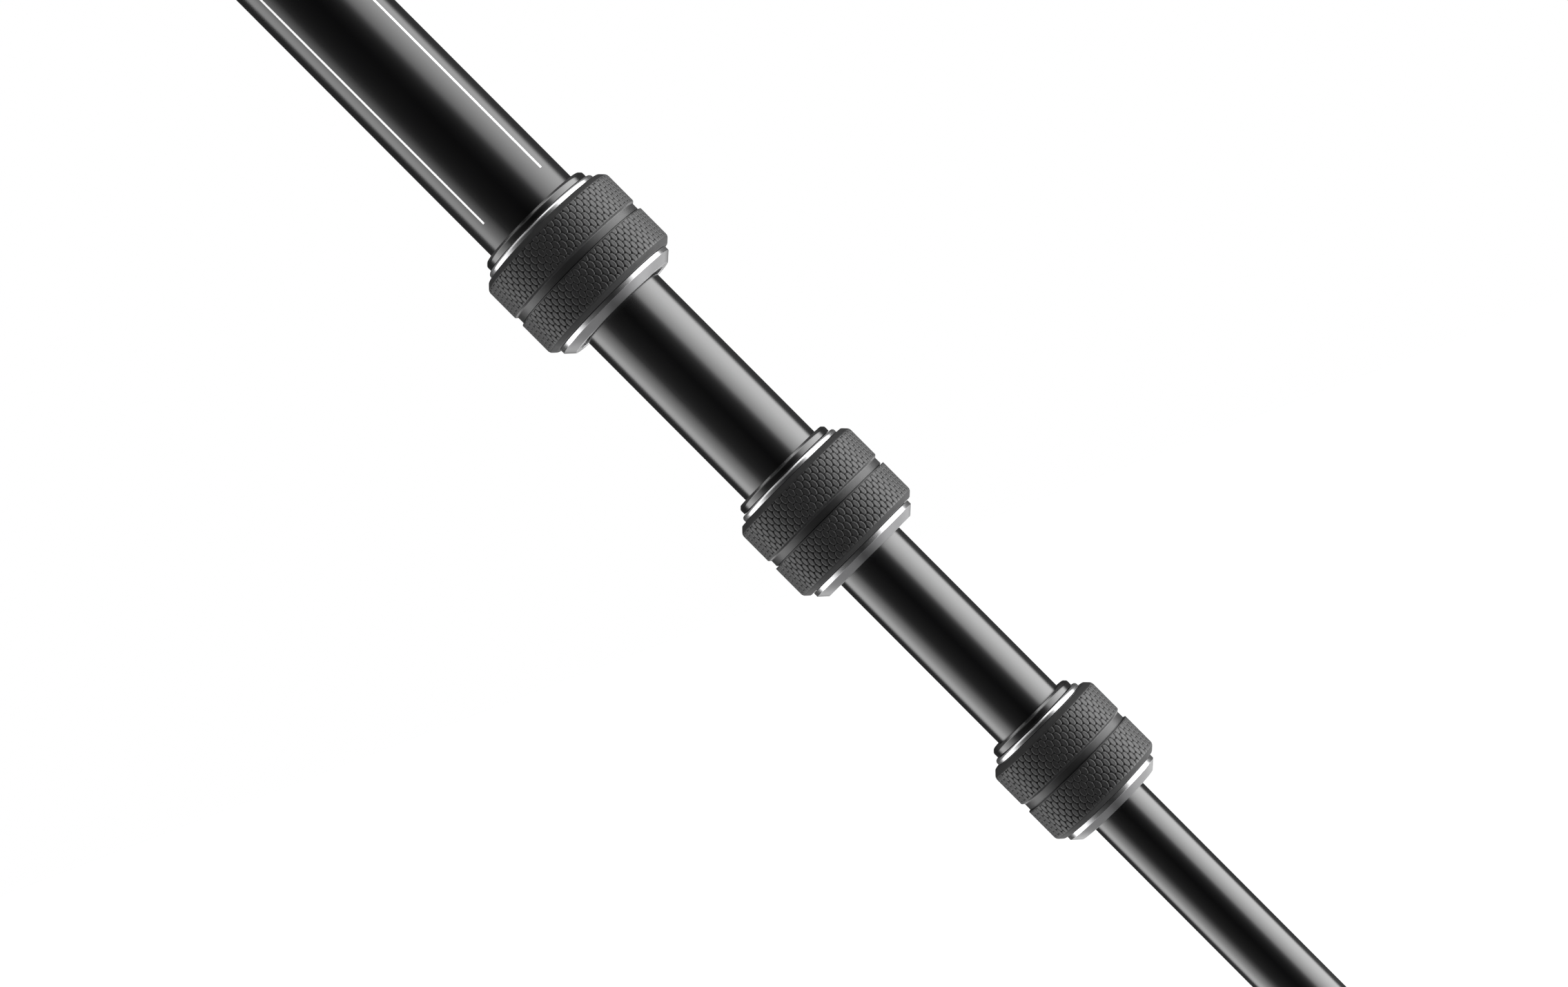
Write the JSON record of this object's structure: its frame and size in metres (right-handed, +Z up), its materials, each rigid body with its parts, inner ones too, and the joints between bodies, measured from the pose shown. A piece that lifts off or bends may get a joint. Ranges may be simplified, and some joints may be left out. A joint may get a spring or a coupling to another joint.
{
  "type": "travel tripod",
  "caption": "Travel tripod with telescoping twist-lock legs that fold up round a sliding centre column, and a stud on top for a camera head.",
  "frame": {"origin": "on the floor, on the column's axis, in the middle of the circle that the three feet stand on", "axes": "+Z up the column; +X towards leg A, and legs B and C follow at 120 degree steps about +Z"},
  "size_m": [0.4089, 0.4692, 0.5649],
  "materials": {
    "black_anodised": "gloss black anodised tube",
    "cast_black": "satin black casting",
    "bare_aluminium": "bright turned",
    "grip_rubber": "matte, scaled texture",
    "foot_rubber": "matte",
    "bush_plastic": "moulded",
    "latch_metal": "satin black",
    "bolt_steel": "plain"
  },
  "bodies": {
    "shoulder": {"shoulder": "cast_black", "pivot_bolts": "bolt_steel", "column_bushes": "bush_plastic"},
    "column": {"column_tube": "black_anodised", "column_cap": "foot_rubber", "head_plate": "cast_black", "head_stud": "bolt_steel"},
    "column_lock": {"column_lock_collar": "bare_aluminium", "column_lock_grip": "grip_rubber"},
    "leg_a_upper": {"leg_a_knuckle": "cast_black", "leg_a_tube_1": "black_anodised", "leg_a_bushes_1": "bush_plastic"},
    "leg_a_latch": {"leg_a_angle_latch": "latch_metal"},
    "leg_a_lock_1": {"leg_a_lock_1_collar": "bare_aluminium", "leg_a_lock_1_grip": "grip_rubber"},
    "leg_a_lock_2": {"leg_a_lock_2_collar": "bare_aluminium", "leg_a_lock_2_grip": "grip_rubber"},
    "leg_a_lock_3": {"leg_a_lock_3_collar": "bare_aluminium", "leg_a_lock_3_grip": "grip_rubber"},
    "leg_a_section_2": {"leg_a_tube_2": "black_anodised", "leg_a_bushes_2": "bush_plastic"},
    "leg_a_section_3": {"leg_a_tube_3": "black_anodised", "leg_a_bushes_3": "bush_plastic"},
    "leg_a_section_4": {"leg_a_tube_4": "black_anodised", "leg_a_foot": "foot_rubber", "leg_a_bushes_4": "bush_plastic"},
    "leg_b_upper": {"leg_b_knuckle": "cast_black", "leg_b_tube_1": "black_anodised", "leg_b_bushes_1": "bush_plastic"},
    "leg_b_latch": {"leg_b_angle_latch": "latch_metal"},
    "leg_b_lock_1": {"leg_b_lock_1_collar": "bare_aluminium", "leg_b_lock_1_grip": "grip_rubber"},
    "leg_b_lock_2": {"leg_b_lock_2_collar": "bare_aluminium", "leg_b_lock_2_grip": "grip_rubber"},
    "leg_b_lock_3": {"leg_b_lock_3_collar": "bare_aluminium", "leg_b_lock_3_grip": "grip_rubber"},
    "leg_b_section_2": {"leg_b_tube_2": "black_anodised", "leg_b_bushes_2": "bush_plastic"},
    "leg_b_section_3": {"leg_b_tube_3": "black_anodised", "leg_b_bushes_3": "bush_plastic"},
    "leg_b_section_4": {"leg_b_tube_4": "black_anodised", "leg_b_foot": "foot_rubber", "leg_b_bushes_4": "bush_plastic"},
    "leg_c_upper": {"leg_c_knuckle": "cast_black", "leg_c_tube_1": "black_anodised", "leg_c_bushes_1": "bush_plastic"},
    "leg_c_latch": {"leg_c_angle_latch": "latch_metal"},
    "leg_c_lock_1": {"leg_c_lock_1_collar": "bare_aluminium", "leg_c_lock_1_grip": "grip_rubber"},
    "leg_c_lock_2": {"leg_c_lock_2_collar": "bare_aluminium", "leg_c_lock_2_grip": "grip_rubber"},
    "leg_c_lock_3": {"leg_c_lock_3_collar": "bare_aluminium", "leg_c_lock_3_grip": "grip_rubber"},
    "leg_c_section_2": {"leg_c_tube_2": "black_anodised", "leg_c_bushes_2": "bush_plastic"},
    "leg_c_section_3": {"leg_c_tube_3": "black_anodised", "leg_c_bushes_3": "bush_plastic"},
    "leg_c_section_4": {"leg_c_tube_4": "black_anodised", "leg_c_foot": "foot_rubber", "leg_c_bushes_4": "bush_plastic"}
  },
  "joints": [
    {"name": "column_slide", "type": "slide", "parent": "shoulder", "child": "column", "axis": [0, 0, 1], "range_m": [0, 0.2067]},
    {"name": "column_lock_twist", "type": "hinge", "parent": "shoulder", "child": "column_lock", "pos_m": [0, 0, 0.53251], "axis": [0, 0, 1], "range_deg": [0, 90]},
    {"name": "leg_a_hinge", "type": "hinge", "parent": "shoulder", "child": "leg_a_upper", "pos_m": [0.038, 0, 0.50785], "axis": [0, -1, 0], "range_deg": [-24, 156]},
    {"name": "leg_a_latch_slide", "type": "slide", "parent": "shoulder", "child": "leg_a_latch", "axis": [1, 0, 0], "range_m": [0, 0.004]},
    {"name": "leg_a_lock_1_twist", "type": "hinge", "parent": "leg_a_upper", "child": "leg_a_lock_1", "pos_m": [0.1607, 0, 0.23227], "axis": [0.4067, 0, -0.9135], "range_deg": [0, 90]},
    {"name": "leg_a_lock_2_twist", "type": "hinge", "parent": "leg_a_section_2", "child": "leg_a_lock_2", "pos_m": [0.1886, 0, 0.1696], "axis": [0.4067, 0, -0.9135], "range_deg": [0, 90]},
    {"name": "leg_a_lock_3_twist", "type": "hinge", "parent": "leg_a_section_3", "child": "leg_a_lock_3", "pos_m": [0.2165, 0, 0.10693], "axis": [0.4067, 0, -0.9135], "range_deg": [0, 90]},
    {"name": "leg_a_section_2_slide", "type": "slide", "parent": "leg_a_upper", "child": "leg_a_section_2", "axis": [0.4067, 0, -0.9135], "range_m": [-0.0428, 0.179]},
    {"name": "leg_a_section_3_slide", "type": "slide", "parent": "leg_a_section_2", "child": "leg_a_section_3", "axis": [0.4067, 0, -0.9135], "range_m": [-0.0428, 0.2001]},
    {"name": "leg_a_section_4_slide", "type": "slide", "parent": "leg_a_section_3", "child": "leg_a_section_4", "axis": [0.4067, 0, -0.9135], "range_m": [-0.074, 0.1898]},
    {"name": "leg_b_hinge", "type": "hinge", "parent": "shoulder", "child": "leg_b_upper", "pos_m": [-0.019, 0.03291, 0.50785], "axis": [0.866, 0.5, 0], "range_deg": [-24, 156]},
    {"name": "leg_b_latch_slide", "type": "slide", "parent": "shoulder", "child": "leg_b_latch", "axis": [-0.5, 0.866, 0], "range_m": [0, 0.004]},
    {"name": "leg_b_lock_1_twist", "type": "hinge", "parent": "leg_b_upper", "child": "leg_b_lock_1", "pos_m": [-0.08035, 0.13917, 0.23227], "axis": [-0.2034, 0.3522, -0.9135], "range_deg": [0, 90]},
    {"name": "leg_b_lock_2_twist", "type": "hinge", "parent": "leg_b_section_2", "child": "leg_b_lock_2", "pos_m": [-0.0943, 0.16333, 0.1696], "axis": [-0.2034, 0.3522, -0.9135], "range_deg": [0, 90]},
    {"name": "leg_b_lock_3_twist", "type": "hinge", "parent": "leg_b_section_3", "child": "leg_b_lock_3", "pos_m": [-0.10825, 0.18749, 0.10693], "axis": [-0.2034, 0.3522, -0.9135], "range_deg": [0, 90]},
    {"name": "leg_b_section_2_slide", "type": "slide", "parent": "leg_b_upper", "child": "leg_b_section_2", "axis": [-0.2034, 0.3522, -0.9135], "range_m": [-0.0428, 0.179]},
    {"name": "leg_b_section_3_slide", "type": "slide", "parent": "leg_b_section_2", "child": "leg_b_section_3", "axis": [-0.2034, 0.3522, -0.9135], "range_m": [-0.0428, 0.2001]},
    {"name": "leg_b_section_4_slide", "type": "slide", "parent": "leg_b_section_3", "child": "leg_b_section_4", "axis": [-0.2034, 0.3522, -0.9135], "range_m": [-0.074, 0.1898]},
    {"name": "leg_c_hinge", "type": "hinge", "parent": "shoulder", "child": "leg_c_upper", "pos_m": [-0.019, -0.03291, 0.50785], "axis": [-0.866, 0.5, 0], "range_deg": [-24, 156]},
    {"name": "leg_c_latch_slide", "type": "slide", "parent": "shoulder", "child": "leg_c_latch", "axis": [-0.5, -0.866, 0], "range_m": [0, 0.004]},
    {"name": "leg_c_lock_1_twist", "type": "hinge", "parent": "leg_c_upper", "child": "leg_c_lock_1", "pos_m": [-0.08035, -0.13917, 0.23227], "axis": [-0.2034, -0.3522, -0.9135], "range_deg": [0, 90]},
    {"name": "leg_c_lock_2_twist", "type": "hinge", "parent": "leg_c_section_2", "child": "leg_c_lock_2", "pos_m": [-0.0943, -0.16333, 0.1696], "axis": [-0.2034, -0.3522, -0.9135], "range_deg": [0, 90]},
    {"name": "leg_c_lock_3_twist", "type": "hinge", "parent": "leg_c_section_3", "child": "leg_c_lock_3", "pos_m": [-0.10825, -0.18749, 0.10693], "axis": [-0.2034, -0.3522, -0.9135], "range_deg": [0, 90]},
    {"name": "leg_c_section_2_slide", "type": "slide", "parent": "leg_c_upper", "child": "leg_c_section_2", "axis": [-0.2034, -0.3522, -0.9135], "range_m": [-0.0428, 0.179]},
    {"name": "leg_c_section_3_slide", "type": "slide", "parent": "leg_c_section_2", "child": "leg_c_section_3", "axis": [-0.2034, -0.3522, -0.9135], "range_m": [-0.0428, 0.2001]},
    {"name": "leg_c_section_4_slide", "type": "slide", "parent": "leg_c_section_3", "child": "leg_c_section_4", "axis": [-0.2034, -0.3522, -0.9135], "range_m": [-0.074, 0.1898]}
  ]
}
